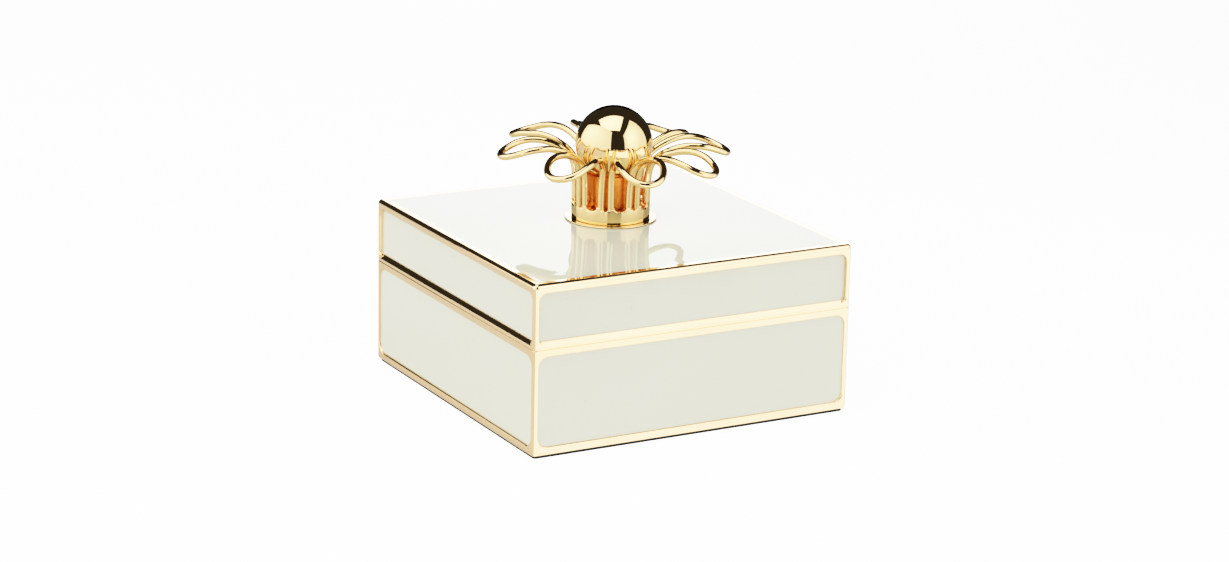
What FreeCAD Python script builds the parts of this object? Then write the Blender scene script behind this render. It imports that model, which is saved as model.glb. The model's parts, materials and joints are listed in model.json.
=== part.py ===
"""Vanity trinket box: a square enamelled metal box with a lift-off lid and a wire-flower knob.

Frame: millimetres, +Z up, origin at the centre of the face that the box stands on.
-Y is the front, +X the right-hand side. The lid lifts straight up along +Z.
"""

import FreeCAD
import Part
import Sketcher

import math
import os
import re

OUT = "parts"

# The driving dimensions, in millimetres and degrees. Each becomes an aliased cell of the sheet.
SIZES = {
    # whole box
    "box_width": 102.0,
    "felt_thick": 0.8,
    "base_height": 30.5,
    "lid_height": 18.7,
    "edge_round": 1.2,
    "lid_corner": 1.25,
    "foot_round": 0.6,
    "seam_round": 0.25,
    "post_width": 1.65,
    "panel_corner": 3.0,
    "lid_panel_corner": 2.3,
    "ledge_corner": 0.9,
    "window_round": 0.5,
    "enamel_thick": 0.4,
    "fit_gap": 0.02,
    # base casting
    "base_wall": 2.9,
    "base_floor": 2.0,
    "base_low_bar": 2.4,
    "base_top_bar": 2.1,
    "base_recess": 1.0,
    # lid casting
    "lid_wall": 3.2,
    "lid_roof": 2.0,
    "lid_low_bar": 2.2,
    "lid_top_bar": 2.7,
    "lid_recess": 1.6,
    "ledge_rise": 1.3,
    "ledge_depth": 0.9,
    "top_frame": 2.7,
    "top_corner": 1.6,
    "top_recess": 1.0,
    "top_crown": 1.2,
    "boss_radius": 8.0,
    # locating rim inside the lid
    "rim_thick": 1.0,
    "rim_drop": 3.5,
    "rim_grip": 3.0,
    "inner_corner": 1.0,
    # linings and foot
    "felt_inset": 0.7,
    "lining_thick": 1.2,
    "floor_pad": 1.6,
    "roof_pad": 1.5,
    "lining_gap": 0.3,
    "mitre_gap": 0.05,
    "lining_top_gap": 0.8,
    "pad_hole_radius": 6.5,
    # knob hardware
    "stud_radius": 2.0,
    "stud_clear": 0.05,
    "stud_chamfer": 0.4,
    "bolt_clear": 0.15,
    "stud_in_ball": 5.0,
    "stud_past_nut": 1.0,
    "washer_radius": 5.0,
    "washer_thick": 0.8,
    "nut_flats": 7.0,
    "nut_height": 3.2,
    # knob: flange, cup, seat and ball
    "flange_radius": 13.4,
    "flange_thick": 0.4,
    "cup_radius": 11.45,
    "cup_wall": 2.3,
    "cup_floor": 1.2,
    "cup_height": 6.0,
    "notch_depth": 1.6,
    "notch_round": 1.2,
    "slot_round_share": 0.45,
    "seat_radius": 8.0,
    "seat_height": 13.6,
    "ball_radius": 11.2,
    "ball_height": 22.0,
    "crown_shift": 0.6,
    "crown_shift_angle": -29.0,
    # petals: wire, spacing and the stations of one half-loop above the lid's crown
    "petal_count": 8.0,
    "first_petal_angle": -104.0,
    "wire_radius": 1.0,
    "foot_radius": 10.0,
    "foot_half_width": 2.6,
    "shank_radius": 10.1,
    "shank_half_width": 2.65,
    "shank_height": 10.5,
    "neck_radius": 10.45,
    "neck_half_width": 3.0,
    "neck_height": 15.4,
    "shoulder_radius": 12.2,
    "shoulder_half_width": 3.55,
    "shoulder_height": 19.0,
    "crest_radius": 18.9,
    "crest_half_width": 5.35,
    "crest_height": 22.55,
    "blade_radius": 25.6,
    "blade_half_width": 6.7,
    "blade_height": 22.65,
    "bend_radius": 32.0,
    "bend_half_width": 4.4,
    "bend_height": 20.25,
    "tip_radius": 34.0,
    "tip_height": 19.4,
    # how each hand-bent petal departs from the common shape
    "petal1_swing": 3.0, "petal1_lift": -3.8,
    "petal2_swing": -1.8, "petal2_lift": -4.6,
    "petal3_swing": -5.0, "petal3_lift": -1.6,
    "petal4_swing": -4.5, "petal4_lift": -3.0,
    "petal5_swing": -1.5, "petal5_lift": 0.4,
    "petal6_swing": 1.4, "petal6_lift": 2.6,
    "petal7_swing": 0.6, "petal7_lift": 0.6,
    "petal8_swing": 2.3, "petal8_lift": -2.5,
}

SIDES = {"front": 0.0, "right": 90.0, "back": 180.0, "left": 270.0}
HEADING_OF_XZ_SKETCH = -90.0
Z = FreeCAD.Vector(0, 0, 1)
# How much of a petal's swing has come in at each station of its half-loop.
SWING_SHARE = {"shank": 0.0, "neck": 0.1, "shoulder": 0.6, "crest": 1.0, "blade": 1.0, "bend": 1.0}
ARC_SHARE = 0.45         # how much of a straight run the arc at its end may use
SAME = 1e-4              # lengths closer than this count as equal
VOLUME_TOLERANCE = 0.02  # a swept tube may differ this much from its length times its section

# Levels used in many places, as formulas over the sheet.
BASE_TOP = "felt_thick + base_height"
LID_TOP = "felt_thick + base_height + lid_height"
ROOF_UNDER = LID_TOP + " - top_recess - lid_roof"
CROWN_TOP = LID_TOP + " + top_crown"
CUP_BOTTOM = CROWN_TOP + " + flange_thick"
WELL_WIDTH = "box_width - 2 * base_wall"
LID_INNER_WIDTH = "box_width - 2 * lid_wall"
RIM_INNER_WIDTH = LID_INNER_WIDTH + " - 2 * rim_thick"
TOP_WIDTH = "box_width - 2 * top_frame"
WINDOW_WIDTH = "box_width - 2 * post_width"
BASE_WINDOW_HEIGHT = "base_height - base_low_bar - base_top_bar"
BASE_WINDOW_MIDDLE = "felt_thick + base_low_bar + (base_height - base_low_bar - base_top_bar) / 2"
LID_WINDOW_HEIGHT = "lid_height - lid_low_bar - lid_top_bar"
LID_WINDOW_MIDDLE = BASE_TOP + " + lid_low_bar + (lid_height - lid_low_bar - lid_top_bar) / 2"
LIP_TOP = CROWN_TOP + " + cup_height"
LEDGE_TOP = BASE_TOP + " + lid_low_bar + ledge_corner / 4"

doc = FreeCAD.newDocument("trinket_box")
sheet = doc.addObject("Spreadsheet::Sheet", "Sizes")
derived = doc.addObject("Spreadsheet::Sheet", "Derived")
derived_cells = {}
parts = []


def fill_sheet():
    """Writes each driving dimension as a plain number with an alias."""
    for row, (alias, size) in enumerate(SIZES.items(), start=1):
        sheet.set(f"A{row}", alias)
        sheet.set(f"B{row}", repr(size))
        sheet.setAlias(f"B{row}", alias)
    doc.recompute()


def formula(text):
    """Turns a formula over plain size names into one that the document understands."""
    return re.sub(r"[a-z_][a-z0-9_]*", lambda m: "Sizes." + m[0] if m[0] in SIZES else m[0], text)


def number(text):
    """The value of a formula over the sheet, worked out in its own cell of the second sheet."""
    if text not in derived_cells:
        derived_cells[text] = f"A{len(derived_cells) + 1}"
        derived.set(derived_cells[text], "=" + formula(text))
        derived.recompute()
    return float(derived.get(derived_cells[text]))


def bind(target, prop, text):
    """Ties a property, or a sketch constraint, to a formula over the sheet."""
    target.setExpression(prop, formula(text))


def origin_feature(body, role):
    """The body's own origin plane or axis with that role."""
    return next(f for f in body.Origin.OriginFeatures if f.Role == role)


def new_body(label, turn=0.0):
    """A PartDesign body for one piece, turned about Z where the piece repeats on each side."""
    body = doc.addObject("PartDesign::Body", label)
    body.Label = label
    body.Placement = FreeCAD.Placement(FreeCAD.Vector(), FreeCAD.Rotation(Z, turn))
    parts.append(body)
    return body


def new_sketch(body, name, plane, offset):
    """An empty sketch on one of the body's origin planes, moved along its normal."""
    sketch = body.newObject("Sketcher::SketchObject", name)
    sketch.AttachmentSupport = (origin_feature(body, plane), [""])
    sketch.MapMode = "FlatFace"
    bind(sketch, "AttachmentOffset.Base.z", offset)
    return sketch


def datum(sketch, kind, where, text):
    """Adds a dimension to a sketch and ties it to a formula."""
    index = sketch.addConstraint(Sketcher.Constraint(kind, *where, number(text)))
    bind(sketch, f"Constraints[{index}]", text)


def rounded_rectangle(sketch, width, height, radius, middle="0", low_radius=None):
    """Draws a rectangle with round corners, centred on the sketch's Y axis at height middle."""
    low_radius = low_radius or radius
    w, h, r, low, c = (number(x) for x in (width, height, radius, low_radius, middle))
    x, y0, y1 = w / 2, c - h / 2, c + h / 2
    ends = [((-x + low, y0), (x - low, y0)), ((x, y0 + low), (x, y1 - r)),
            ((x - r, y1), (-x + r, y1)), ((-x, y1 - r), (-x, y0 + low))]
    for (ax, ay), (bx, by) in ends:
        sketch.addGeometry(Part.LineSegment(FreeCAD.Vector(ax, ay, 0), FreeCAD.Vector(bx, by, 0)))
    corners = [(x - low, y0 + low, low), (x - r, y1 - r, r),
               (-x + r, y1 - r, r), (-x + low, y0 + low, low)]
    for quarter, (cx, cy, size) in enumerate(corners):
        round_corner = Part.Circle(FreeCAD.Vector(cx, cy, 0), Z, size)
        start = (quarter - 1) * math.pi / 2
        sketch.addGeometry(Part.ArcOfCircle(round_corner, start, start + math.pi / 2))
    for side in range(4):
        arc = side + 4
        sketch.addConstraint(Sketcher.Constraint("Tangent", side, 2, arc, 1))
        sketch.addConstraint(Sketcher.Constraint("Tangent", arc, 2, (side + 1) % 4, 1))
        sketch.addConstraint(Sketcher.Constraint("Vertical" if side % 2 else "Horizontal", side))
    sketch.addConstraint(Sketcher.Constraint("Equal", 4, 7))
    sketch.addConstraint(Sketcher.Constraint("Equal", 5, 6))
    datum(sketch, "Radius", (4,), low_radius)
    datum(sketch, "Radius", (5,), radius)
    datum(sketch, "DistanceX", (-1, 1, 1, 1), f"({width}) / 2")
    datum(sketch, "DistanceX", (3, 1, 1, 1), width)
    datum(sketch, "DistanceY", (-1, 1, 0, 1), f"({middle}) - ({height}) / 2")
    datum(sketch, "DistanceY", (0, 1, 2, 1), height)


def polygon(sketch, corners):
    """Draws a closed outline whose corners are pairs of formulas."""
    places = [(number(x), number(y)) for x, y in corners]
    for i, (x, y) in enumerate(places):
        nx, ny = places[(i + 1) % len(places)]
        sketch.addGeometry(Part.LineSegment(FreeCAD.Vector(x, y, 0), FreeCAD.Vector(nx, ny, 0)))
    for i, (x_text, y_text) in enumerate(corners):
        sketch.addConstraint(Sketcher.Constraint("Coincident", i, 2, (i + 1) % len(corners), 1))
        datum(sketch, "DistanceX", (-1, 1, i, 1), x_text)
        datum(sketch, "DistanceY", (-1, 1, i, 1), y_text)


def pad(body, sketch, length, reverse=False):
    """Extrudes a sketch away from its plane."""
    feature = body.newObject("PartDesign::Pad", sketch.Name + "_pad")
    feature.Profile = sketch
    feature.Reversed = reverse
    bind(feature, "Length", length)
    doc.recompute()
    return feature


def pocket(body, sketch, length, reverse=False, midplane=False):
    """Cuts a sketch into the body, and makes sure that it removed something."""
    before = body.Shape.Volume
    feature = body.newObject("PartDesign::Pocket", sketch.Name + "_pocket")
    feature.Profile = sketch
    feature.Reversed = reverse
    feature.Midplane = midplane
    bind(feature, "Length", length)
    doc.recompute()
    if not body.Shape.Volume < before:
        raise RuntimeError(f"{feature.Name} cuts nothing")
    return feature


def four_sides(body, *features):
    """Repeats features on the other three sides of the box."""
    pattern = body.newObject("PartDesign::PolarPattern", body.Name + "_four_sides")
    pattern.Originals = list(features)
    pattern.Axis = (origin_feature(body, "Z_Axis"), [""])
    pattern.Angle = 360
    pattern.Occurrences = 4
    body.Tip = pattern
    doc.recompute()
    return pattern


def revolve(body, sketch):
    """Turns a sketch on the XZ plane once about Z."""
    feature = body.newObject("PartDesign::Revolution", sketch.Name + "_turned")
    feature.Profile = sketch
    feature.ReferenceAxis = (origin_feature(body, "Z_Axis"), [""])
    feature.Angle = 360
    doc.recompute()
    return feature


def round_edges(body, radius, wanted, name):
    """Rounds the edges of the body's last feature that wanted(edge box) picks."""
    base = body.Tip
    names = [f"Edge{i}" for i, e in enumerate(base.Shape.Edges, start=1) if wanted(e)]
    if not names:
        raise RuntimeError(f"{name} found no edge")
    feature = body.newObject("PartDesign::Fillet", name)
    feature.Base = (base, names)
    bind(feature, "Radius", radius)
    doc.recompute()
    return feature


def at_level(level):
    """Picks edges that lie wholly at one height."""
    z = number(level)
    return lambda e: abs(e.BoundBox.ZMin - z) < SAME and abs(e.BoundBox.ZMax - z) < SAME


def window_edges():
    """Picks the rims of the side windows, which lie in the four outer faces."""
    half, window_half = number("box_width / 2"), number("box_width / 2 - post_width")

    def wanted(e):
        b = e.BoundBox
        spans = (b.XMin, b.XMax), (b.YMin, b.YMax)
        for (low, high), (left, right) in (spans, spans[::-1]):
            in_face = high - low < SAME and abs(abs(low) - half) < SAME
            if in_face and max(abs(left), abs(right)) < window_half + SAME:
                return True
        return False
    return wanted


def base_shell():
    """The base casting: an open tray with a shallow window for enamel in each outer side."""
    body = new_body("base_shell")
    block = new_sketch(body, "base_block", "XY_Plane", "felt_thick")
    rounded_rectangle(block, "box_width", "box_width", "edge_round")
    pad(body, block, "base_height")
    round_edges(body, "foot_round", at_level("felt_thick"), "base_foot_round")
    round_edges(body, "seam_round", at_level(BASE_TOP), "base_seam_round")
    well = new_sketch(body, "base_well", "XY_Plane", BASE_TOP)
    rounded_rectangle(well, WELL_WIDTH, WELL_WIDTH, "inner_corner")
    pocket(body, well, "base_height - base_floor")
    window = new_sketch(body, "base_window", "XZ_Plane", "box_width / 2")
    rounded_rectangle(window, WINDOW_WIDTH, BASE_WINDOW_HEIGHT, "panel_corner", BASE_WINDOW_MIDDLE)
    four_sides(body, pocket(body, window, "base_recess"))
    round_edges(body, "window_round", window_edges(), "base_window_round")


def lid_shell():
    """The lid casting: side windows, a shallow top recess, a boss for the knob and a stud hole."""
    body = new_body("lid_shell")
    block = new_sketch(body, "lid_block", "XY_Plane", BASE_TOP)
    rounded_rectangle(block, "box_width", "box_width", "lid_corner")
    pad(body, block, "lid_height")
    round_edges(body, "edge_round", at_level(LID_TOP), "lid_top_round")
    round_edges(body, "seam_round", at_level(BASE_TOP), "lid_seam_round")
    hollow = new_sketch(body, "lid_hollow", "XY_Plane", BASE_TOP)
    rounded_rectangle(hollow, LID_INNER_WIDTH, LID_INNER_WIDTH, "inner_corner")
    pocket(body, hollow, "lid_height - top_recess - lid_roof", reverse=True)
    tray = new_sketch(body, "lid_top_tray", "XY_Plane", LID_TOP)
    rounded_rectangle(tray, TOP_WIDTH, TOP_WIDTH, "top_corner")
    pocket(body, tray, "top_recess")
    boss = new_sketch(body, "lid_boss", "XY_Plane", LID_TOP + " - top_recess")
    circle(boss, "boss_radius")
    pad(body, boss, "top_recess + top_crown")
    hole = new_sketch(body, "lid_stud_hole", "XY_Plane", CROWN_TOP)
    circle(hole, "stud_radius + bolt_clear")
    pocket(body, hole, "top_crown + top_recess + lid_roof")
    window = new_sketch(body, "lid_window", "XZ_Plane", "box_width / 2")
    rounded_rectangle(window, WINDOW_WIDTH, LID_WINDOW_HEIGHT, "lid_panel_corner", LID_WINDOW_MIDDLE,
                      "ledge_corner")
    opening = pocket(body, window, "lid_recess")
    ledge = new_sketch(body, "lid_ledge", "YZ_Plane", "0")
    polygon(ledge, [
        ("-box_width / 2", BASE_TOP + " + lid_low_bar - ledge_rise"),
        ("-box_width / 2", LEDGE_TOP),
        ("-box_width / 2 + ledge_depth", LEDGE_TOP),
        ("-box_width / 2 + ledge_depth", BASE_TOP + " + lid_low_bar"),
    ])
    bevel = pocket(body, ledge, WINDOW_WIDTH + " - 2 * ledge_corner", midplane=True)
    four_sides(body, opening, bevel)
    round_edges(body, "window_round", window_edges(), "lid_window_round")


def circle(sketch, radius):
    """Draws a circle about the sketch's origin."""
    sketch.addGeometry(Part.Circle(FreeCAD.Vector(), Z, number(radius)))
    sketch.addConstraint(Sketcher.Constraint("Coincident", 0, 3, -1, 1))
    datum(sketch, "Radius", (0,), radius)


def side_enamel(prefix, height, middle, recess, corner, low_corner):
    """The enamel fill of the four side windows, one piece a side."""
    for side, turn in SIDES.items():
        body = new_body(f"{prefix}_enamel_{side}", turn)
        fill = new_sketch(body, f"{prefix}_{side}_fill", "XZ_Plane", f"box_width / 2 - {recess}")
        rounded_rectangle(fill, WINDOW_WIDTH + " - 2 * fit_gap", height + " - 2 * fit_gap",
                          corner + " - fit_gap", middle, low_corner + " - fit_gap")
        pad(body, fill, "enamel_thick")


def top_enamel():
    """The lid's crowned enamel: level with the gold frame at its border, highest round the knob."""
    body = new_body("lid_enamel_top")
    slab = new_sketch(body, "top_slab", "XY_Plane", LID_TOP + " - top_recess")
    width = TOP_WIDTH + " - 2 * fit_gap"
    rounded_rectangle(slab, width, width, "top_corner - fit_gap")
    pad(body, slab, "top_recess + 2 * top_crown")
    hole = new_sketch(body, "top_knob_hole", "XY_Plane", LID_TOP + " + 2 * top_crown")
    circle(hole, "boss_radius + fit_gap")
    pocket(body, hole, "top_recess + 2 * top_crown")
    parts.remove(body)
    crown = doc.addObject("Part::Feature", "crown_cutter")
    crown.Shape = crown_solid()
    common = doc.addObject("Part::Common", "top_enamel_crowned")
    common.Base = body
    common.Tool = crown
    body.Label = "top_enamel_blank"
    common.Label = "lid_enamel_top"
    parts.append(common)


def crown_solid():
    """Everything under the crown: a patch that falls off as (1 - x^2)(1 - y^2), pulled down to a solid."""
    half, edge = number(TOP_WIDTH + " - 2 * fit_gap") / 2, number(LID_TOP)
    middle_pole = 4 * number("top_crown")  # the patch rises to a quarter of its middle pole
    patch = Part.BezierSurface()
    patch.increase(2, 2)
    for i, x in enumerate((-half, 0.0, half), start=1):
        for j, y in enumerate((-half, 0.0, half), start=1):
            lift = middle_pole if x == y == 0.0 else 0.0
            patch.setPole(i, j, FreeCAD.Vector(x, y, edge + lift))
    return patch.toShape().extrude(Z * -2 * number("top_recess"))


def locating_rim():
    """The thin frame inside the lid that drops into the base and centres the lid on it."""
    body = new_body("lid_locating_rim")
    ring = new_sketch(body, "rim_outline", "XY_Plane", BASE_TOP + " - rim_drop")
    outer = LID_INNER_WIDTH + " - 2 * fit_gap"
    rounded_rectangle(ring, outer, outer, "inner_corner")
    pad(body, ring, "rim_drop + rim_grip")
    bore = new_sketch(body, "rim_bore", "XY_Plane", BASE_TOP + " + rim_grip")
    rounded_rectangle(bore, RIM_INNER_WIDTH, RIM_INNER_WIDTH, "inner_corner / 2")
    pocket(body, bore, "rim_drop + rim_grip")


def slab_piece(label, width, level, thick, corner):
    """A flat square pad with round corners."""
    body = new_body(label)
    outline = new_sketch(body, label + "_outline", "XY_Plane", level)
    rounded_rectangle(outline, width, width, corner)
    pad(body, outline, thick)
    return body


def linings():
    """The felt foot under the base, and the velvet-covered boards inside base and lid."""
    slab_piece("felt_foot", "box_width - 2 * felt_inset", "0", "felt_thick", "edge_round")
    reach = WELL_WIDTH + " - 2 * lining_gap"
    floor_level = "felt_thick + base_floor"
    slab_piece("base_floor_lining", reach, floor_level, "floor_pad", "inner_corner")
    roof = slab_piece("lid_roof_lining", LID_INNER_WIDTH + " - 2 * lining_gap",
                      ROOF_UNDER + " - roof_pad", "roof_pad", "inner_corner")
    hole = new_sketch(roof, "roof_pad_hole", "XY_Plane", ROOF_UNDER)
    circle(hole, "pad_hole_radius")
    pocket(roof, hole, "roof_pad")
    height = "base_height - base_floor - floor_pad - rim_drop - lining_top_gap"
    end = f"({reach}) / 2 - lining_thick - mitre_gap"
    outer = f"-(({WELL_WIDTH}) / 2 - lining_gap / 2)"
    inner = outer + " + lining_thick"
    for side, turn in SIDES.items():
        body = new_body(f"base_wall_lining_{side}", turn)
        strip = new_sketch(body, f"wall_lining_{side}_outline", "XY_Plane", floor_level + " + floor_pad")
        polygon(strip, [(f"-({end})", outer), (end, outer), (end, inner), (f"-({end})", inner)])
        pad(body, strip, height)


def turned(label, corners):
    """A piece turned from an outline of (radius, height) formulas."""
    body = new_body(label)
    outline = new_sketch(body, label + "_outline", "XZ_Plane", "0")
    polygon(outline, corners)
    revolve(body, outline)
    return body


def flange_and_cup():
    """The thin plate on the lid, and the cup whose notched lip carries the petals."""
    clear, thread = "stud_radius + bolt_clear", "stud_radius + stud_clear"
    turned("knob_flange", [
        (clear, CROWN_TOP),
        ("flange_radius", CROWN_TOP),
        ("flange_radius", CUP_BOTTOM),
        (clear, CUP_BOTTOM),
    ])
    floor = CUP_BOTTOM + " + cup_floor"
    cup = turned("knob_cup", [
        (thread, CUP_BOTTOM),
        ("cup_radius", CUP_BOTTOM),
        ("cup_radius", LIP_TOP),
        ("cup_radius - cup_wall", LIP_TOP),
        ("cup_radius - cup_wall", floor),
        (thread, floor),
    ])
    notch_the_lip(cup)


def clamp_hardware():
    """Washer, nut and stud: what holds the flower down on the lid, from inside."""
    clear, thread = "stud_radius + bolt_clear", "stud_radius + stud_clear"
    washer_low = ROOF_UNDER + " - washer_thick"
    turned("knob_washer", [
        (clear, washer_low),
        ("washer_radius", washer_low),
        ("washer_radius", ROOF_UNDER),
        (clear, ROOF_UNDER),
    ])
    nut = new_body("knob_nut")
    outline = new_sketch(nut, "nut_outline", "XY_Plane", washer_low)
    corner = "nut_flats / 2 / cos(30)"
    polygon(outline, [(f"{corner} * cos({a})", f"{corner} * sin({a})") for a in range(0, 360, 60)])
    pad(nut, outline, "nut_height", reverse=True)
    bore = new_sketch(nut, "nut_bore", "XY_Plane", washer_low)
    circle(bore, thread)
    pocket(nut, bore, "nut_height")
    stud_low = washer_low + " - nut_height - stud_past_nut"
    stud_high = CROWN_TOP + " + ball_height - ball_radius + stud_in_ball"
    turned("knob_stud", [
        ("0", stud_low),
        ("stud_radius - stud_chamfer", stud_low),
        ("stud_radius", stud_low + " + stud_chamfer"),
        ("stud_radius", stud_high + " - stud_chamfer"),
        ("stud_radius - stud_chamfer", stud_high),
        ("0", stud_high),
    ])


def cut_notch(cup, name, width, corner, turn):
    """Cuts one round-bottomed notch through the near side of the cup's lip, turned about Z."""
    sketch = new_sketch(cup, name, "XZ_Plane", "0")
    sketch.AttachmentOffset = FreeCAD.Placement(
        FreeCAD.Vector(), FreeCAD.Rotation(FreeCAD.Vector(0, 1, 0), turn))
    rounded_rectangle(sketch, width, "2 * notch_depth", corner, LIP_TOP)
    return pocket(cup, sketch, "2 * cup_radius")


def notch_the_lip(cup):
    """Cuts the cup's lip into posts, one under each petal foot: wide notches and narrow slots by turns."""
    half_pitch = 180.0 / number("petal_count")
    wide = "2 * (foot_half_width - wire_radius)"
    half_slot = f"foot_radius * sin({half_pitch}) - foot_half_width * cos({half_pitch}) - wire_radius"
    slot = f"2 * ({half_slot})"
    pattern_of = [
        cut_notch(cup, "wide_notch", wide, "notch_round", 0.0),
        cut_notch(cup, "narrow_slot", slot, f"({slot}) * slot_round_share", half_pitch),
    ]
    pattern = cup.newObject("PartDesign::PolarPattern", "lip_notches")
    pattern.Originals = pattern_of
    pattern.Axis = (origin_feature(cup, "Z_Axis"), [""])
    pattern.Angle = 360
    pattern.Occurrences = int(number("petal_count"))
    cup.Tip = pattern
    turn = number("first_petal_angle") - HEADING_OF_XZ_SKETCH
    cup.Placement = FreeCAD.Placement(FreeCAD.Vector(), FreeCAD.Rotation(Z, turn))
    doc.recompute()


def shift_vector():
    """How far the hand-set crown of petals and ball stands off the stud's axis."""
    angle = math.radians(number("crown_shift_angle"))
    return FreeCAD.Vector(math.cos(angle), math.sin(angle), 0) * number("crown_shift")


def sphere_at_ball(name, radius):
    """A sphere round the ball's centre."""
    sphere = doc.addObject("Part::Sphere", name)
    bind(sphere, "Radius", radius)
    bind(sphere, "Placement.Base.x", "crown_shift * cos(crown_shift_angle)")
    bind(sphere, "Placement.Base.y", "crown_shift * sin(crown_shift_angle)")
    bind(sphere, "Placement.Base.z", CROWN_TOP + " + ball_height")
    return sphere


def cut_piece(label, blank, tool):
    """A piece left when a tool is cut from a blank."""
    cut = doc.addObject("Part::Cut", label + "_cut")
    cut.Base = blank
    cut.Tool = tool
    cut.Label = label
    parts.append(cut)


def knob_seat():
    """The pedestal inside the cage of wires, hollowed at its top to carry the ball."""
    clear, floor = "stud_radius + bolt_clear", CUP_BOTTOM + " + cup_floor"
    top = CROWN_TOP + " + seat_height"
    blank = turned("seat_blank", [(clear, floor), ("seat_radius", floor), ("seat_radius", top), (clear, top)])
    parts.remove(blank)
    cut_piece("knob_seat", blank, sphere_at_ball("seat_hollow", "ball_radius + fit_gap"))


def knob_ball():
    """The polished ball, drilled from below for the stud."""
    ball = sphere_at_ball("ball_blank", "ball_radius")
    drill = doc.addObject("Part::Cylinder", "ball_drill")
    bind(drill, "Radius", "stud_radius + stud_clear")
    bind(drill, "Height", "ball_radius")
    drill_top = CROWN_TOP + " + ball_height - ball_radius + stud_in_ball + stud_clear"
    bind(drill, "Placement.Base.z", drill_top + " - ball_radius")
    cut_piece("knob_ball", ball, drill)


def half_loop():
    """The stations of one half-loop: radius, half width, height and share of the petal's swing."""
    half = [(number("foot_radius"), number("foot_half_width"), number("cup_height"), 0.0)]
    for station, share in SWING_SHARE.items():
        r, w, z = (number(f"{station}_{k}") for k in ("radius", "half_width", "height"))
        half.append((r, w, z, share))
    half.append((number("tip_radius"), 0.0, number("tip_height"), 1.0))
    return half


def lifted(r, z, lift):
    """A station turned upwards about the petal's neck, if it lies above the neck."""
    pivot_r, pivot_z = number("neck_radius"), number("neck_height")
    if z <= pivot_z:
        return r, z
    out, up = r - pivot_r, z - pivot_z
    return (pivot_r + out * math.cos(lift) - up * math.sin(lift),
            pivot_z + out * math.sin(lift) + up * math.cos(lift))


def petal_points(index):
    """The route's points of one petal's wire, from foot to tip and back to the other foot."""
    heading = number("first_petal_angle") + 360.0 / number("petal_count") * (index - 1)
    swing, lift = number(f"petal{index}_swing"), math.radians(number(f"petal{index}_lift"))
    lean_from, lean_over = number("shank_height"), number("crest_height - shank_height")
    sides = []
    for side in (1, -1):
        run = []
        for r, w, z, share in half_loop():
            r, z = lifted(r, z, lift)
            angle = math.radians(heading + share * swing)
            out = FreeCAD.Vector(math.cos(angle), math.sin(angle), 0)
            across = FreeCAD.Vector(-math.sin(angle), math.cos(angle), 0)
            lean = min(1.0, max(0.0, (z - lean_from) / lean_over))
            run.append(out * r + across * (w * side) + Z * (number(CROWN_TOP) + z) + shift_vector() * lean)
        sides.append(run)
    return sides[0] + sides[1][-2::-1]


def smooth_wire(points):
    """Straight runs joined by tangent arcs, each as large as its two runs allow."""
    edges, at = [], points[0]
    for before, corner, after in zip(points, points[1:], points[2:]):
        back, ahead = before - corner, after - corner
        reach = ARC_SHARE * min(back.Length, ahead.Length)
        back.normalize()
        ahead.normalize()
        start, end = corner + back * reach, corner + ahead * reach
        half_turn = (math.pi - back.getAngle(ahead)) / 2
        radius = reach / math.tan(half_turn)
        toward = (back + ahead).normalize()
        middle = corner + toward * (radius / math.cos(half_turn) - radius)
        edges.append(Part.LineSegment(at, start).toShape())
        edges.append(Part.Arc(start, middle, end).toShape())
        at = end
    edges.append(Part.LineSegment(at, points[-1]).toShape())
    return Part.Wire(edges)


def petals():
    """The looped petals of the flower, each one length of wire standing on the cup's lip."""
    room = number("box_width")
    above_lip = Part.makeBox(room, room, room, FreeCAD.Vector(-room / 2, -room / 2, number(LIP_TOP)))
    for index in range(1, int(number("petal_count")) + 1):
        points = petal_points(index)
        route = smooth_wire(points)
        section = Part.Wire(Part.makeCircle(number("wire_radius"), points[0], points[1] - points[0]))
        tube = route.makePipeShell([section], True, False)
        expected = math.pi * number("wire_radius") ** 2 * route.Length
        if abs(tube.Volume / expected - 1) > VOLUME_TOLERANCE:
            raise RuntimeError(f"petal {index} has the wrong volume")
        piece = doc.addObject("Part::Feature", f"petal_wire_{index}")
        piece.Shape = tube.common(above_lip)
        piece.Label = f"petal_wire_{index}"
        parts.append(piece)


def check_and_export():
    """Stops on any failed object, then writes one STEP file a piece."""
    doc.recompute()
    for obj in doc.Objects:
        if "Invalid" in obj.State or "Error" in obj.State:
            raise RuntimeError(f"{obj.Label} failed: {obj.State}")
    os.makedirs(OUT, exist_ok=True)
    for piece in parts:
        shape = piece.Shape
        if shape.isNull() or not shape.isValid() or not shape.Solids:
            raise RuntimeError(f"{piece.Label} has no valid solid")
        shape.exportStep(os.path.join(OUT, piece.Label + ".step"))
        print(f"{piece.Label:26s} {len(shape.Solids)} solid  {shape.Volume:10.1f} mm3")


fill_sheet()
base_shell()
side_enamel("base", BASE_WINDOW_HEIGHT, BASE_WINDOW_MIDDLE, "base_recess", "panel_corner", "panel_corner")
lid_shell()
side_enamel("lid", LID_WINDOW_HEIGHT, LID_WINDOW_MIDDLE, "lid_recess", "lid_panel_corner", "ledge_corner")
top_enamel()
locating_rim()
linings()
flange_and_cup()
clamp_hardware()
knob_seat()
knob_ball()
petals()
check_and_export()
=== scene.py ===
"""Looks for the vanity trinket box: polished gold castings, ivory enamel and a smooth wire-flower knob.

Metres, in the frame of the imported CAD: +Z up, -Y is the box's front, the origin is under its middle.
"""

import json
import math

import bmesh
import bpy
from mathutils import Matrix, Vector

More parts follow.
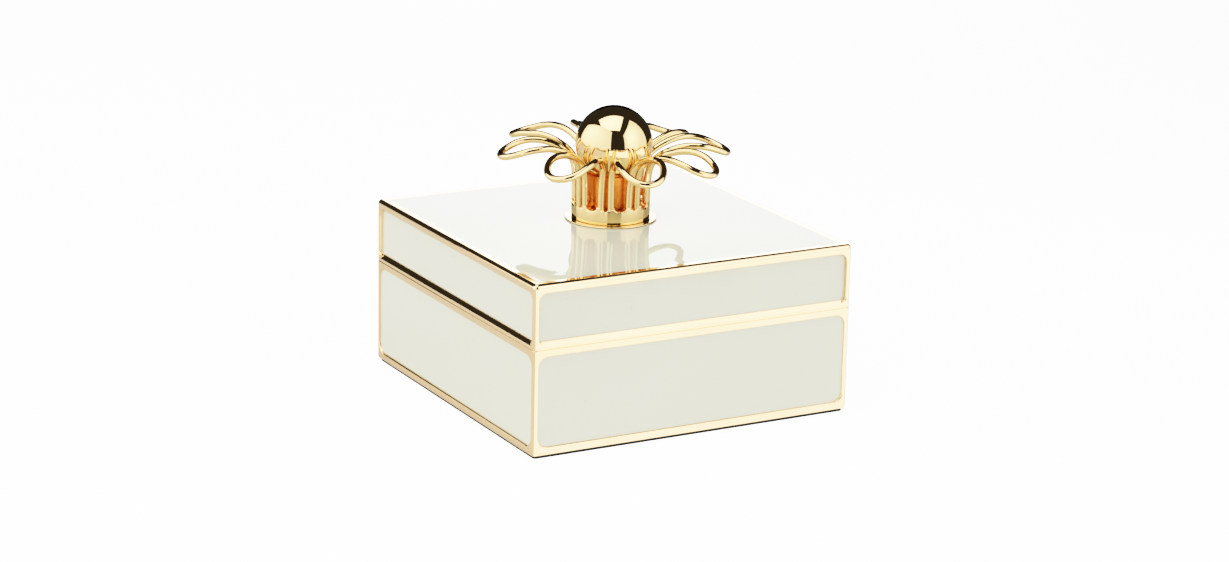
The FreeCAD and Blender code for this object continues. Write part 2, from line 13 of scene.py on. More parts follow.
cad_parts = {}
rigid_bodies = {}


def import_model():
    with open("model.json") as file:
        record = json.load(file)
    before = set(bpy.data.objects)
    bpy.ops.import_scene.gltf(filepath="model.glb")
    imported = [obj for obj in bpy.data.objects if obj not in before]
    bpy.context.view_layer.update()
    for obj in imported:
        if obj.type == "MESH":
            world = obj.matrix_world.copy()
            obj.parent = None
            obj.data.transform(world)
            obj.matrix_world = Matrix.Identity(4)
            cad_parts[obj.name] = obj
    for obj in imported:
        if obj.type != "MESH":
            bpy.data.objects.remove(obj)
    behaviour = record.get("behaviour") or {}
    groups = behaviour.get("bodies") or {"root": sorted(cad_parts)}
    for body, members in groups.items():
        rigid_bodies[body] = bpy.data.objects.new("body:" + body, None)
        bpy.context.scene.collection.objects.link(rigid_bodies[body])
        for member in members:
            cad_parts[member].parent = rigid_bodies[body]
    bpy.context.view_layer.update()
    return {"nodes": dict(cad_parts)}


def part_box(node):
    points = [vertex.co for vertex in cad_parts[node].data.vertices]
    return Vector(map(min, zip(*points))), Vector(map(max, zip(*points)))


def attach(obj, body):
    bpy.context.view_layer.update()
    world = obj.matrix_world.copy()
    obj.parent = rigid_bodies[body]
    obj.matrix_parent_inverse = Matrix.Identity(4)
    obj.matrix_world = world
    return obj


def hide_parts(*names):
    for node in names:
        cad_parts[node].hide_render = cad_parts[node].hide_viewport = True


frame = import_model()

MM = 0.001
NODES = frame["nodes"]
SIDES = {"front": 0.0, "right": 90.0, "back": 180.0, "left": 270.0}

# Levels and sizes that the frame gives.
CROWN_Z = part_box("knob_flange")[0].z
CUP_BOTTOM_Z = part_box("knob_cup")[0].z
LIP_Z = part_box("knob_cup")[1].z
CUP_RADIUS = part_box("knob_cup")[1].x
BALL_LOW, BALL_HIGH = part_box("knob_ball")
BALL_RADIUS = (BALL_HIGH.x - BALL_LOW.x) / 2
BALL_CENTRE = Vector(((BALL_LOW.x + BALL_HIGH.x) / 2, (BALL_LOW.y + BALL_HIGH.y) / 2,
                      BALL_HIGH.z - BALL_RADIUS))

# The flower, in millimetres and degrees: the same design values as the CAD's.
PETAL_COUNT = 8
FIRST_PETAL_ANGLE = -104.0
WIRE_RADIUS = 1.0
FOOT_RADIUS, FOOT_HALF_WIDTH = 10.0, 2.6
NOTCH_DEPTH, NOTCH_ROUND = 1.6, 1.2
CUP_WALL, CUP_FLOOR = 2.3, 1.2
STUD_BORE = 2.05
SHANK_HEIGHT, CREST_HEIGHT = 10.5, 22.55
NECK_RADIUS, NECK_HEIGHT = 10.45, 15.4
# radius, half width, height above the lid's crown, and how far the petal's swing has come in
PETAL_STATIONS = [
    (10.1, 2.65, SHANK_HEIGHT, 0.0),
    (NECK_RADIUS, 3.0, NECK_HEIGHT, 0.1),
    (12.2, 3.55, 19.0, 0.6),
    (18.9, 5.35, CREST_HEIGHT, 1.0),
    (25.6, 6.7, 22.65, 1.0),
    (32.0, 4.4, 20.25, 1.0),
    (34.0, 0.0, 19.4, 1.0),
]
PETAL_SWINGS = [3.0, -1.8, -5.0, -4.5, -1.5, 1.4, 0.6, 2.3]
PETAL_LIFTS = [-3.8, -4.6, -1.6, -3.0, 0.4, 2.6, 0.6, -2.5]

# Softened edges that only the visible meshes have, in millimetres.
CUP_EDGE, CUP_FOOT = 0.45, 0.25
FLANGE_RIM, FLANGE_DIP = 2.5, 0.06

# How finely the visible meshes are cut.
CUP_STEPS, FLANGE_STEPS, BALL_STEPS, BALL_RINGS = 960, 256, 240, 120
CORNER_STEPS, SIDE_STEPS = 8, 10
WIRE_ROUNDNESS, WIRE_FINENESS = 7, 14
CREASE_ANGLE = 35.0      # edges sharper than this stay crisp
LEAST_CORNER = 0.2 * MM  # the smallest corner radius that an inset layer keeps
NEAR_POLE, NEAR_AXIS = 1e-4, 1e-7  # how close the ball's rings come to its pole and its axis


# ---------------------------------------------------------------- mesh helpers

def make_piece(name, verts, faces, material, body, stands_for):
    """A mesh piece that rides on a body, takes a material slot and stands for CAD nodes."""
    mesh = bpy.data.meshes.new(name)
    mesh.from_pydata([tuple(v) for v in verts], [], faces)
    mesh.update()
    piece = bpy.data.objects.new(name, mesh)
    bpy.context.scene.collection.objects.link(piece)
    return dress(piece, material, body, stands_for)


def dress(piece, material, body, stands_for):
    """Smooth shading with creases, a material, and the piece's place in the frame."""
    mesh = piece.data
    mesh.shade_smooth()
    mesh.set_sharp_from_angle(angle=math.radians(CREASE_ANGLE))
    mesh.materials.clear()
    mesh.materials.append(material)
    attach(piece, body)
    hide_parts(*stands_for)
    return piece


def lathe(profile_at, steps):
    """A closed profile turned about Z. profile_at(angle) gives (radius, height) pairs."""
    verts, faces = [], []
    for step in range(steps):
        angle = 2 * math.pi * step / steps
        profile = profile_at(angle)
        count = len(profile)
        verts += [(r * math.cos(angle), r * math.sin(angle), z) for r, z in profile]
        here, there = step * count, (step + 1) % steps * count
        for i in range(count):
            j = (i + 1) % count
            faces.append((here + i, there + i, there + j, here + j))
    return verts, faces


def quarter(centre, radius, start, count=6):
    """Points of a quarter circle in the (radius, height) plane, from the angle start, anticlockwise."""
    turns = [math.radians(start + 90 * i / count) for i in range(count + 1)]
    return [(centre[0] + radius * math.cos(t), centre[1] + radius * math.sin(t)) for t in turns]


def rounded_outline(width, height, corner):
    """Points round a rectangle with round corners, centred on the origin, anticlockwise."""
    points = []
    x, y = width / 2 - corner, height / 2 - corner
    centres = [(x, -y), (x, y), (-x, y), (-x, -y)]
    for index, (cx, cy) in enumerate(centres):
        start = -90 + 90 * index
        for i in range(CORNER_STEPS + 1):
            turn = math.radians(start + 90 * i / CORNER_STEPS)
            points.append((cx + corner * math.cos(turn), cy + corner * math.sin(turn)))
        (ax, ay), (nx, ny) = points[-1], centres[(index + 1) % 4]
        turn = math.radians(start + 90)
        bx, by = nx + corner * math.cos(turn), ny + corner * math.sin(turn)
        for i in range(1, SIDE_STEPS):
            points.append((ax + (bx - ax) * i / SIDE_STEPS, ay + (by - ay) * i / SIDE_STEPS))
    return points


def slab(width, height, corner, layers, hole=0.0):
    """A closed slab from (inset, z) layers of a rounded rectangle, low to high, with a hole if given."""
    rings = []
    for inset, z in layers:
        outline = rounded_outline(width - 2 * inset, height - 2 * inset, max(corner - inset, LEAST_CORNER))
        rings.append([(x, y, z) for x, y in outline])
    if hole:
        middle = [(x, y, 0.0) for x, y, _ in rings[0]]
        scale = [hole / math.hypot(x, y) for x, y, _ in middle]
        for z in (layers[-1][1], layers[0][1]):
            rings.append([(x * s, y * s, z) for (x, y, _), s in zip(middle, scale)])
    count = len(rings[0])
    verts = [p for ring in rings for p in ring]
    faces = []
    last = len(rings) if hole else len(rings) - 1
    for level in range(last):
        here, there = level * count, (level + 1) % len(rings) * count
        for i in range(count):
            j = (i + 1) % count
            faces.append((here + i, here + j, there + j, there + i))
    if not hole:
        faces.append(tuple(reversed(range(count))))
        faces.append(tuple(range((len(rings) - 1) * count, len(rings) * count)))
    return verts, faces


def placed(verts, matrix):
    """The points moved by a matrix."""
    return [matrix @ Vector(v) for v in verts]


# ---------------------------------------------------------------- material helpers

class Graph:
    """A material's node tree, with short calls for the nodes that this scene uses."""

    def __init__(self, name):
        self.material = bpy.data.materials.new(name)
        self.material.use_nodes = True
        self.tree = self.material.node_tree
        self.shader = self.tree.nodes["Principled BSDF"]
        self.coordinates = self.tree.nodes.new("ShaderNodeTexCoord").outputs["Object"]

    def set(self, **values):
        """Sets uniform values on the shader's own sockets."""
        for key, value in values.items():
            self.shader.inputs[key.replace("_", " ")].default_value = value

    def link(self, output, socket):
        self.tree.links.new(output, self.shader.inputs[socket])

    def stretched(self, scale, turn=(0.0, 0.0, 0.0)):
        """Object coordinates, turned and scaled by axis."""
        node = self.tree.nodes.new("ShaderNodeMapping")
        node.inputs["Scale"].default_value = scale
        node.inputs["Rotation"].default_value = [math.radians(a) for a in turn]
        self.tree.links.new(self.coordinates, node.inputs["Vector"])
        return node.outputs["Vector"]

    def noise(self, scale, detail=2.0, roughness=0.5, vector=None, distortion=0.0):
        node = self.tree.nodes.new("ShaderNodeTexNoise")
        node.inputs["Scale"].default_value = scale
        node.inputs["Detail"].default_value = detail
        node.inputs["Roughness"].default_value = roughness
        node.inputs["Distortion"].default_value = distortion
        self.tree.links.new(vector or self.coordinates, node.inputs["Vector"])
        return node.outputs["Fac"]

    def cells(self, scale):
        """Distance to the nearest of a scatter of points."""
        node = self.tree.nodes.new("ShaderNodeTexVoronoi")
        node.inputs["Scale"].default_value = scale
        self.tree.links.new(self.coordinates, node.inputs["Vector"])
        return node.outputs["Distance"]

    def remap(self, value, low_in, high_in, low_out, high_out):
        node = self.tree.nodes.new("ShaderNodeMapRange")
        for index, number in enumerate((low_in, high_in, low_out, high_out), start=1):
            node.inputs[index].default_value = number
        self.tree.links.new(value, node.inputs[0])
        return node.outputs[0]

    def product(self, first, second):
        node = self.tree.nodes.new("ShaderNodeMath")
        node.operation = "MULTIPLY"
        self.tree.links.new(first, node.inputs[0])
        self.tree.links.new(second, node.inputs[1])
        return node.outputs[0]

    def mix(self, amount, first, second):
        """A colour between two, by an amount from 0 to 1. Either colour may be an output."""
        node = self.tree.nodes.new("ShaderNodeMix")
        node.data_type = "RGBA"
        self.tree.links.new(amount, node.inputs[0])
        for socket, colour in ((node.inputs[6], first), (node.inputs[7], second)):
            if isinstance(colour, tuple):
                socket.default_value = (*colour, 1.0)
            else:
                self.tree.links.new(colour, socket)
        return node.outputs[2]

    def bump(self, height, depth, strength=1.0):
        """Relief of that depth in metres. Calls stack, the later on top of the earlier."""
        node = self.tree.nodes.new("ShaderNodeBump")
        node.inputs["Strength"].default_value = strength
        node.inputs["Distance"].default_value = depth
        self.tree.links.new(height, node.inputs["Height"])
        normal = self.shader.inputs["Normal"]
        if normal.is_linked:
            self.tree.links.new(normal.links[0].from_socket, node.inputs["Normal"])
        self.tree.links.new(node.outputs["Normal"], normal)


# ---------------------------------------------------------------- materials

HAIRLINE_DEPTH = 0.0000004       # metres


def gold(name, colour, deep, haze, wave_size, wave_depth):
    """Mirror-polished plating: a faint change of tone, a breath of haze, and the slow waves of polishing.

    The wave's size and depth are in metres.
    """
    g = Graph(name)
    g.set(Metallic=1.0)
    tone = g.remap(g.noise(45.0, 3.0), 0.35, 0.65, 0.0, 1.0)
    g.link(g.mix(tone, colour, deep), "Base Color")
    smears = g.noise(260.0, 4.0, 0.6, g.stretched((1.0, 0.25, 1.0), (0, 0, 35)))
    g.link(g.remap(smears, 0.3, 0.75, haze[0], haze[1]), "Roughness")
    g.bump(g.noise(1.0 / wave_size, 2.0, 0.45), wave_depth)
    g.bump(g.noise(9000.0, 2.0, 0.6, g.stretched((1.0, 0.08, 1.0), (10, 0, 50))), HAIRLINE_DEPTH)
    return g.material


def enamel(name, colour, shade, fleck, haze, coat, peel):
    """Fired ivory enamel: cloudy tone, sparse dark flecks, a clear gloss and a very slight orange peel.

    coat is the weight of the clear coat, and peel the depth of the orange peel in metres.
    """
    g = Graph(name)
    clouds = g.remap(g.noise(38.0, 4.0, 0.55), 0.3, 0.7, 0.0, 1.0)
    flecks = g.remap(g.cells(260.0), 0.05, 0.16, 0.24, 0.0)
    chosen = g.remap(g.noise(120.0, 1.0), 0.45, 0.56, 0.0, 1.0)
    g.link(g.mix(g.product(flecks, chosen), g.mix(clouds, colour, shade), fleck), "Base Color")
    g.link(g.remap(g.noise(90.0, 3.0), 0.3, 0.7, *haze), "Roughness")
    g.set(IOR=1.52, Coat_Weight=coat, Coat_Roughness=0.015)
    g.bump(g.noise(190.0, 2.0, 0.4), peel)
    return g.material


def velvet(name, colour, light):
    """Short pile brushed in patches, with a soft sheen."""
    g = Graph(name)
    patches = g.remap(g.noise(55.0, 3.0, 0.55, distortion=0.8), 0.35, 0.65, 0.0, 1.0)
    pile = g.noise(5200.0, 2.0, 0.7)
    g.link(g.mix(g.product(patches, pile), colour, light), "Base Color")
    g.set(Roughness=0.95, Sheen_Weight=0.7, Sheen_Roughness=0.35, Sheen_Tint=(0.5, 0.5, 0.55, 1.0), IOR=1.3)
    g.bump(pile, 0.00025, 0.8)
    g.bump(patches, 0.0002, 0.3)
    return g.material


def felt(name, colour, light):
    """Pressed wool: matted fibres of two lengths."""
    g = Graph(name)
    long_fibres = g.noise(1500.0, 3.0, 0.7, g.stretched((1.0, 0.3, 1.0), (0, 0, 28)), 1.5)
    short_fibres = g.noise(3800.0, 2.0, 0.7, g.stretched((0.35, 1.0, 1.0), (0, 0, -17)), 1.0)
    matted = g.product(long_fibres, short_fibres)
    g.link(g.mix(g.remap(matted, 0.12, 0.4, 0.0, 1.0), colour, light), "Base Color")
    g.set(Roughness=1.0, Sheen_Weight=0.06, Sheen_Roughness=0.6, IOR=1.15)
    g.bump(matted, 0.0003, 0.9)
    return g.material


def zinc_steel(name, colour, deep):
    """Plated hardware with turning rings and a slightly mottled passivation."""
    g = Graph(name)
    g.set(Metallic=1.0)
    g.link(g.mix(g.remap(g.noise(400.0, 3.0), 0.3, 0.7, 0.0, 1.0), colour, deep), "Base Color")
    rings = g.noise(3200.0, 1.0, 0.5, g.stretched((0.15, 0.15, 1.0)))
    g.link(g.remap(rings, 0.3, 0.7, 0.22, 0.38), "Roughness")
    g.bump(rings, 0.00001)
    return g.material


BOX_GOLD = gold("box_gold", (0.97, 0.665, 0.345), (0.95, 0.625, 0.31),
                haze=(0.02, 0.06), wave_size=14 * MM, wave_depth=0.00003)
FLOWER_GOLD = gold("flower_gold", (0.90, 0.62, 0.28), (0.87, 0.57, 0.24),
                   haze=(0.02, 0.06), wave_size=4 * MM, wave_depth=0.00006)
# Painted shade: the seat inside the cup gets a deep orange, darkened copy of the flower's gold that stands
# in for light bounced round inside the cup.
SEAT_PAINTED_SHADE_GOLD = gold("seat_painted_shade_gold", (0.90, 0.27, 0.035), (0.55, 0.10, 0.01),
                 haze=(0.22, 0.5), wave_size=1.8 * MM, wave_depth=0.00022)
BALL_GOLD = gold("ball_gold", (0.91, 0.635, 0.29), (0.89, 0.605, 0.265),
                 haze=(0.01, 0.035), wave_size=6 * MM, wave_depth=0.000012)
SIDE_ENAMEL = enamel("side_enamel", (0.755, 0.772, 0.592), (0.742, 0.742, 0.568), (0.50, 0.49, 0.38),
                     haze=(0.06, 0.11), coat=0.25, peel=0.000012)
# Painted shade: the lid's top face takes a darker copy of the side enamel, so the top reads darker than its
# light alone would make it.
TOP_ENAMEL_PAINTED_SHADE = enamel("top_enamel", (0.655, 0.675, 0.50), (0.64, 0.66, 0.485), (0.46, 0.45, 0.35),
                    haze=(0.015, 0.035), coat=0.0, peel=0.000004)
LINING = velvet("lining_velvet", (0.012, 0.012, 0.014), (0.045, 0.045, 0.05))
FELT = felt("black_felt", (0.002, 0.002, 0.002), (0.014, 0.014, 0.013))
STEEL = zinc_steel("plated_steel", (0.62, 0.60, 0.56), (0.50, 0.47, 0.42))


# ---------------------------------------------------------------- the flower

def petal_route(index):
    """Control points of one petal's wire, from inside the cup's wall round the loop and back."""
    heading = FIRST_PETAL_ANGLE + 360.0 / PETAL_COUNT * index
    lift = math.radians(PETAL_LIFTS[index])
    lean_full = CREST_HEIGHT - SHANK_HEIGHT
    shift = Vector((BALL_CENTRE.x, BALL_CENTRE.y, 0.0))
    foot = (LIP_Z - CROWN_Z) / MM - NOTCH_DEPTH - WIRE_RADIUS
    half = [(FOOT_RADIUS, FOOT_HALF_WIDTH, foot, 0.0)] + PETAL_STATIONS
    sides = []
    for side in (1, -1):
        run = []
        for radius, half_width, height, share in half:
            if height > NECK_HEIGHT:
                out, rise = radius - NECK_RADIUS, height - NECK_HEIGHT
                radius = NECK_RADIUS + out * math.cos(lift) - rise * math.sin(lift)
                height = NECK_HEIGHT + out * math.sin(lift) + rise * math.cos(lift)
            angle = math.radians(heading + share * PETAL_SWINGS[index])
            outward = Vector((math.cos(angle), math.sin(angle), 0.0))
            across = Vector((-math.sin(angle), math.cos(angle), 0.0))
            lean = min(1.0, max(0.0, (height - SHANK_HEIGHT) / lean_full))
            place = outward * radius + across * half_width * side
            run.append(place * MM + Vector((0, 0, CROWN_Z + height * MM)) + shift * lean)
        sides.append(run)
    return sides[0] + sides[1][-2::-1]


def make_petals():
    """Each petal is one round wire on a smooth curve."""
    for index in range(PETAL_COUNT):
        name = f"petal_loop_{index + 1}"
        curve = bpy.data.curves.new(name, "CURVE")
        curve.dimensions = "3D"
        curve.bevel_depth = WIRE_RADIUS * MM
        curve.bevel_resolution = WIRE_ROUNDNESS
        curve.use_fill_caps = True
        route = petal_route(index)
        spline = curve.splines.new("NURBS")
        spline.points.add(len(route) - 1)
        for point, place in zip(spline.points, route):
            point.co = (*place, 1.0)
        spline.order_u = 3
        spline.use_endpoint_u = True
        spline.resolution_u = WIRE_FINENESS
        drawn = bpy.data.objects.new(name, curve)
        piece = bpy.data.objects.new(name, bpy.data.meshes.new_from_object(drawn))
        bpy.data.objects.remove(drawn)
        piece.name = name
        bpy.context.scene.collection.objects.link(piece)
        dress(piece, FLOWER_GOLD, "lid", [f"petal_wire_{index + 1}"])


def lip_height(angle):
    """The cup's lip above its notches: it climbs in a round sweep to each wire's foot."""
    pitch = 2 * math.pi / PETAL_COUNT
    leg = math.atan2(FOOT_HALF_WIDTH, FOOT_RADIUS)
    reach = math.hypot(FOOT_HALF_WIDTH, FOOT_RADIUS)
    turn = abs((angle - math.radians(FIRST_PETAL_ANGLE) + pitch / 2) % pitch - pitch / 2)
    gap = reach * (leg if turn < leg else pitch / 2 - leg) - WIRE_RADIUS
    away = reach * abs(turn - leg) - WIRE_RADIUS
    sweep = min(NOTCH_ROUND, gap)
    if away <= 0:
        return sweep * MM
    if away >= sweep:
        return 0.0
    return (sweep - math.sqrt(sweep ** 2 - (sweep - away) ** 2)) * MM


def make_cup():
    """The band that carries the petals, with a rounded, scalloped lip."""
    outer, inner = CUP_RADIUS, CUP_RADIUS - CUP_WALL * MM
    floor = CUP_BOTTOM_Z + CUP_FLOOR * MM
    notch_z = LIP_Z - NOTCH_DEPTH * MM
    edge, foot = CUP_EDGE * MM, CUP_FOOT * MM

    def profile(angle):
        top = notch_z + lip_height(angle)
        points = [(STUD_BORE * MM, CUP_BOTTOM_Z)]
        points += quarter((outer - foot, CUP_BOTTOM_Z + foot), foot, -90, 4)
        points += quarter((outer - edge, top - edge), edge, 0)
        points += quarter((inner + edge, top - edge), edge, 90)
        points += [(inner, floor + 2 * edge), (inner - edge, floor + 0.3 * edge), (inner - 2 * edge, floor)]
        points.append((STUD_BORE * MM, floor))
        return points

    verts, faces = lathe(profile, CUP_STEPS)
    make_piece("flower_cup", verts, faces, FLOWER_GOLD, "lid", ["knob_cup"])


def make_flange():
    """The thin plate under the cup: a round rim, and inside it a face a hair lower."""
    low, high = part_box("knob_flange")
    radius, edge = high.x, (high.z - low.z) / 2
    inner_radius, face = radius - FLANGE_RIM * MM, high.z - FLANGE_DIP * MM

    def profile(angle):
        points = [(STUD_BORE * MM, low.z), (inner_radius, low.z)]
        points += quarter((radius - edge, low.z + edge), edge, -90)
        points += quarter((radius - edge, low.z + edge), edge, 0)[1:]
        return points + [(inner_radius, face), (STUD_BORE * MM, face)]

    verts, faces = lathe(profile, FLANGE_STEPS)
    make_piece("flower_flange", verts, faces, FLOWER_GOLD, "lid", ["knob_flange"])


def make_ball():
    """The polished ball, with the shallow drilled seat for its stud underneath."""
    seat = STUD_BORE * MM
    seat_turn = math.asin(seat / BALL_RADIUS)
    sweep = math.pi - seat_turn - NEAR_POLE
    turns = [-math.pi / 2 + seat_turn + sweep * i / BALL_RINGS for i in range(BALL_RINGS + 1)]

    def profile(angle):
        points = [(BALL_RADIUS * math.cos(t), BALL_RADIUS * math.sin(t)) for t in turns]
        return points + [(NEAR_AXIS, 0.0), (seat, 0.0)]

    verts, faces = lathe(profile, BALL_STEPS)
    verts = placed(verts, Matrix.Translation(BALL_CENTRE))
    make_piece("flower_ball", verts, faces, BALL_GOLD, "lid", ["knob_ball"])


# ---------------------------------------------------------------- linings and foot

BOARD_CORNER, WALL_CORNER, FOOT_CORNER = 1.5 * MM, 1.0 * MM, 1.2 * MM
FLOOR_EDGE, ROOF_EDGE, WALL_EDGE = 0.8 * MM, 0.75 * MM, 0.6 * MM
ROOF_HOLE = 6.5 * MM


def pad_layers(thick, edge):
    """Layers of a soft pad: a flat back, a turned-over edge and a slightly crowned face."""
    layers = [(0.25 * edge, 0.0), (0.0, 0.25 * edge)]
    for i in range(1, 7):
        turn = math.radians(15 * i)
        layers.append((edge * (1 - math.cos(turn)), thick - edge + edge * math.sin(turn)))
    layers.append((3 * edge, thick))
    return layers


def make_pads():
    """Velvet-covered card in base and lid, each pad with rolled edges."""
    low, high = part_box("base_floor_lining")
    size = high.x - low.x
    verts, faces = slab(size, size, BOARD_CORNER, pad_layers(high.z - low.z, FLOOR_EDGE))
    piece = make_piece("floor_pad", placed(verts, Matrix.Translation((0, 0, low.z))), faces, LINING,
                       "base", ["base_floor_lining"])
    low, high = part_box("lid_roof_lining")
    size = high.x - low.x
    verts, faces = slab(size, size, BOARD_CORNER, pad_layers(high.z - low.z, ROOF_EDGE), hole=ROOF_HOLE)
    upside_down = Matrix.Translation((0, 0, high.z)) @ Matrix.Rotation(math.pi, 4, "X")
    piece = make_piece("roof_pad", placed(verts, upside_down), faces, LINING,
                       "lid", ["lid_roof_lining"])
    low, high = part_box("base_wall_lining_front")
    middle = (low + high) / 2
    verts, faces = slab(high.x - low.x, high.z - low.z, WALL_CORNER, pad_layers(high.y - low.y, WALL_EDGE))
    upright = Matrix.Translation((0, low.y, middle.z)) @ Matrix.Rotation(-math.pi / 2, 4, "X")
    for side, turn in SIDES.items():
        place = Matrix.Rotation(math.radians(turn), 4, "Z") @ upright
        piece = make_piece(f"wall_pad_{side}", placed(verts, place), faces, LINING,
                           "base", [f"base_wall_lining_{side}"])


def make_foot():
    """The felt sheet under the base, cut square with softly worn edges."""
    low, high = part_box("felt_foot")
    size, thick = high.x - low.x, high.z - low.z
    layers = [(0.15 * MM, 0.0), (0.0, 0.3 * thick), (0.05 * MM, 0.8 * thick), (0.2 * MM, thick)]
    verts, faces = slab(size, size, FOOT_CORNER, layers)
    piece = make_piece("felt_sheet", placed(verts, Matrix.Translation((0, 0, low.z))), faces, FELT,
                       "base", ["felt_foot"])


# ---------------------------------------------------------------- CAD nodes that stay

def finish_cad_nodes():
    """Better materials for the CAD nodes whose shape is already right."""
    for name, node in NODES.items():
        if node.hide_render:
            continue
        # The top face takes the enamel with the painted shade.
        if name == "lid_enamel_top":
            material = TOP_ENAMEL_PAINTED_SHADE
        elif "enamel" in name:
            material = SIDE_ENAMEL
        elif name in ("knob_nut", "knob_washer", "knob_stud"):
            material = STEEL
        # The seat takes the gold with the painted bounce shade.
        elif name == "knob_seat":
            material = SEAT_PAINTED_SHADE_GOLD
        else:
            material = BOX_GOLD
        node.data.materials.clear()
        node.data.materials.append(material)


# ---------------------------------------------------------------- studio

CAMERA_AZIMUTH, CAMERA_ELEVATION, CAMERA_ROLL = -28.98, 16.11, 1.235
CAMERA_DISTANCE, CAMERA_LENS, SENSOR = 0.9804, 97.4, 36.0
AIM_RIGHT, AIM_UP, AIM_BASE = 2.24 * MM, 29.81 * MM, 0.8 * MM
EYE_LEVEL = BALL_CENTRE.z
# Standing panels: the angle to the right of the camera, how far away, the reach to each side of the nearest
# point, the lower and upper edge, and how bright the middle and the edges are.
UPRIGHT_PANELS = {
    "left_panel": {"angle": -50, "away": 0.5, "left": 1.3, "right": 0.43,
                   "low": 0.0, "high": EYE_LEVEL + 0.69, "centre": 2.05, "edge": 1.3},
    "right_panel": {"angle": 95, "away": 0.5, "left": 0.96, "right": 0.15,
                    "low": 0.0, "high": EYE_LEVEL + 0.74, "centre": 2.2, "edge": 1.2},
    "back_card": {"angle": 180, "away": 0.8, "left": 0.24, "right": 0.24,
                  "low": 0.13, "high": 0.44, "centre": 3.4, "edge": 2.0},
}
# Level cards: height, brightness of the middle and the edges, and corners as level_card takes them.
TOP_PANEL_HEIGHT, TOP_PANEL_GLOW = EYE_LEVEL + 0.70, (2.4, 1.6)
TABLE_HEIGHT = -1.0 * MM
FRONT_CARD_HEIGHT, FRONT_CARD_GLOW = -0.5 * MM, (1.95, 1.7)
FLOOR_REACH, FLOOR_GLOW = 6.0, 1.3
BACKDROP_RADIUS, BACKDROP_GLOW = 8.0, 4.0
# The film-like response 1 - exp(-speed * light), drawn through these amounts of light.
FULL_LIGHT, RESPONSE_SPEED = 4.0, 2.1
RESPONSE_LIGHTS = (0.1, 0.25, 0.5, 0.8, 1.2, 1.8, 2.6)
TOP_PANEL_CORNERS = ((-0.49, -0.175), (0.24, -0.175), (0.24, 0.546), (-0.49, 0.546))
TABLE_CORNERS = ((-0.95, -0.5), (0.95, -0.5), (0.95, 0.30), (-0.95, 0.30))
# The front card starts along the foot of the box's front side and reaches past it to the right.
FRONT_CARD_CORNERS = ((-0.02, 0.069), (0.5, -0.219), (0.5, 0.5), (-0.12, 0.5))


def round_about(angle):
    """The level direction that lies that many degrees to the right of the camera, seen from the box."""
    turn = math.radians(CAMERA_AZIMUTH - 90 + angle)
    return Vector((math.cos(turn), math.sin(turn), 0.0))


def make_camera():
    azimuth, elevation, roll = map(math.radians, (CAMERA_AZIMUTH, CAMERA_ELEVATION, CAMERA_ROLL))
    back = Vector((math.sin(azimuth) * math.cos(elevation), -math.cos(azimuth) * math.cos(elevation),
                   math.sin(elevation)))
    level_right = Vector((math.cos(azimuth), math.sin(azimuth), 0.0))
    level_up = back.cross(level_right)
    right = level_right * math.cos(roll) + level_up * math.sin(roll)
    up = level_up * math.cos(roll) - level_right * math.sin(roll)
    place = Vector((0, 0, AIM_BASE)) + back * CAMERA_DISTANCE + right * AIM_RIGHT + up * AIM_UP
    data = bpy.data.cameras.new("camera")
    data.lens = CAMERA_LENS
    data.sensor_width = SENSOR
    data.clip_start, data.clip_end = 0.05, 30.0
    camera = bpy.data.objects.new("camera", data)
    camera.matrix_world = Matrix.Translation(place) @ Matrix((right, up, back)).transposed().to_4x4()
    bpy.context.scene.collection.objects.link(camera)
    bpy.context.scene.camera = camera


def seen_only_by(thing, camera, light):
    """Lets the camera see a stage piece, or lets light and reflections see it, or both."""
    thing.visible_camera = camera
    thing.visible_diffuse = light
    thing.visible_glossy = light
    thing.visible_transmission = light
    thing.visible_volume_scatter = light
    thing.visible_shadow = light


def stage_plane(name, corners, material, camera, light):
    mesh = bpy.data.meshes.new(name)
    mesh.from_pydata([tuple(c) for c in corners], [], [(0, 1, 2, 3)])
    mesh.materials.append(material)
    thing = bpy.data.objects.new(name, mesh)
    bpy.context.scene.collection.objects.link(thing)
    seen_only_by(thing, camera, light)
    return thing


def glow(name, centre, edge):
    """A light panel's face: brightest in its middle, fading to its edges."""
    g = Graph(name)
    offset = g.tree.nodes.new("ShaderNodeVectorMath")
    offset.operation = "SUBTRACT"
    offset.inputs[1].default_value = (0.5, 0.5, 0.5)
    g.tree.links.new(g.coordinates.node.outputs["Generated"], offset.inputs[0])
    length = g.tree.nodes.new("ShaderNodeVectorMath")
    length.operation = "LENGTH"
    g.tree.links.new(offset.outputs[0], length.inputs[0])
    g.set(Base_Color=(0, 0, 0, 1), Roughness=1.0, Specular_IOR_Level=0.0, Emission_Color=(1, 1, 1, 1))
    g.link(g.remap(length.outputs["Value"], 0.1, 0.6, centre, edge), "Emission Strength")
    return g.material


def upright_panel(name, angle, away, left, right, low, high, centre, edge):
    """A standing light panel between two heights, left and right measured from its nearest point."""
    near = round_about(angle) * away
    along = round_about(angle + 90)
    corners = [near - along * left, near + along * right]
    foot, head = Vector((0, 0, low)), Vector((0, 0, high))
    return stage_plane(name, [corners[0] + foot, corners[1] + foot, corners[1] + head, corners[0] + head],
                       glow(name + "_glow", centre, edge), False, True)


def level_card(name, height, corners, material):
    """A level stage piece. Its corners are measured to the right of the box and towards the camera."""
    right, forward = round_about(90), round_about(0)
    places = [Vector((0, 0, height)) + right * x + forward * y for x, y in corners]
    return stage_plane(name, places, material, False, True)


def keep_off_flower(card):
    """Keeps a card's light off the petals, the cup and the ball. The flange stays lit."""
    flower = bpy.data.collections.new(card.name + "_blind")
    for thing in bpy.data.objects:
        if thing.name.startswith(("petal_loop", "flower_cup", "flower_ball")):
            flower.objects.link(thing)
    card.light_linking.receiver_collection = flower
    for entry in flower.collection_objects:
        entry.light_linking.link_state = "EXCLUDE"


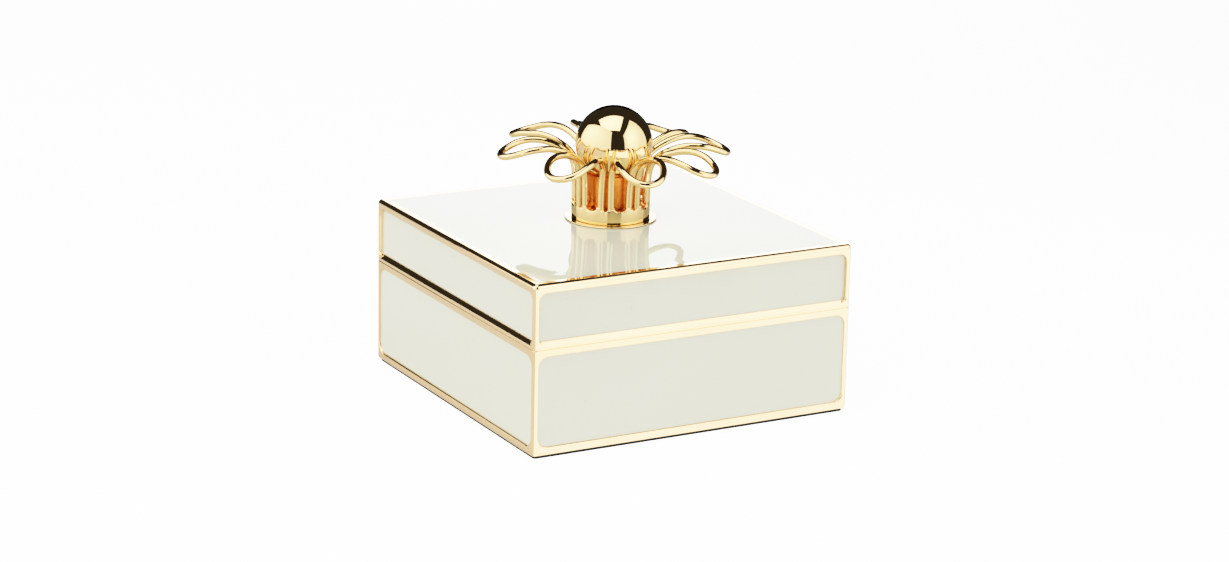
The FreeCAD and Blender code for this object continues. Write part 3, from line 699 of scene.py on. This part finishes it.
def make_studio():
    """A white table, a panel on each side of the camera, one overhead, a card behind, and a dark room."""
    panels = {name: upright_panel(name, **values) for name, values in UPRIGHT_PANELS.items()}
    keep_off_flower(panels["back_card"])
    level_card("top_panel", TOP_PANEL_HEIGHT, TOP_PANEL_CORNERS, glow("top_glow", *TOP_PANEL_GLOW))
    table = Graph("table_white")
    table.set(Base_Color=(0.7, 0.7, 0.69, 1.0), Roughness=0.9)
    level_card("table", TABLE_HEIGHT, TABLE_CORNERS, table.material)
    front_glow = glow("front_glow", *FRONT_CARD_GLOW)
    front_card = level_card("front_card", FRONT_CARD_HEIGHT, FRONT_CARD_CORNERS, front_glow)
    front_card.visible_diffuse = False
    front_card.visible_shadow = False
    floor = Graph("floor_white")
    floor.set(Base_Color=(0.86, 0.86, 0.86, 1.0), Roughness=1.0, Specular_IOR_Level=0.0,
              Emission_Color=(1, 1, 1, 1), Emission_Strength=FLOOR_GLOW)
    corners = [(x * FLOOR_REACH, y * FLOOR_REACH, 0) for x, y in ((-1, -1), (1, -1), (1, 1), (-1, 1))]
    stage_plane("floor", corners, floor.material, True, False)
    make_backdrop()
    world = bpy.data.worlds.new("dark_room")
    world.use_nodes = True
    world.node_tree.nodes["Background"].inputs["Color"].default_value = (0.014, 0.013, 0.012, 1.0)
    bpy.context.scene.world = world


def make_backdrop():
    """A plain white surround that only the camera sees."""
    shell = bmesh.new()
    bmesh.ops.create_uvsphere(shell, u_segments=32, v_segments=16, radius=BACKDROP_RADIUS)
    mesh = bpy.data.meshes.new("backdrop")
    shell.to_mesh(mesh)
    shell.free()
    white = Graph("backdrop_white")
    white.set(Base_Color=(0, 0, 0, 1), Specular_IOR_Level=0.0,
              Emission_Color=(1, 1, 1, 1), Emission_Strength=BACKDROP_GLOW)
    mesh.materials.append(white.material)
    backdrop = bpy.data.objects.new("backdrop", mesh)
    bpy.context.scene.collection.objects.link(backdrop)
    seen_only_by(backdrop, True, False)


def set_response():
    """A film-like response: bright parts roll off softly to white."""
    view = bpy.context.scene.view_settings
    view.view_transform = "Standard"
    view.use_curve_mapping = True
    mapping = view.curve_mapping
    mapping.white_level = (FULL_LIGHT, FULL_LIGHT, FULL_LIGHT)
    combined = mapping.curves[3]
    for light in RESPONSE_LIGHTS:
        combined.points.new(light / FULL_LIGHT, 1 - math.exp(-RESPONSE_SPEED * light))
    mapping.update()


make_petals()
make_cup()
make_flange()
make_ball()
make_pads()
make_foot()
finish_cad_nodes()
make_studio()
make_camera()
set_response()
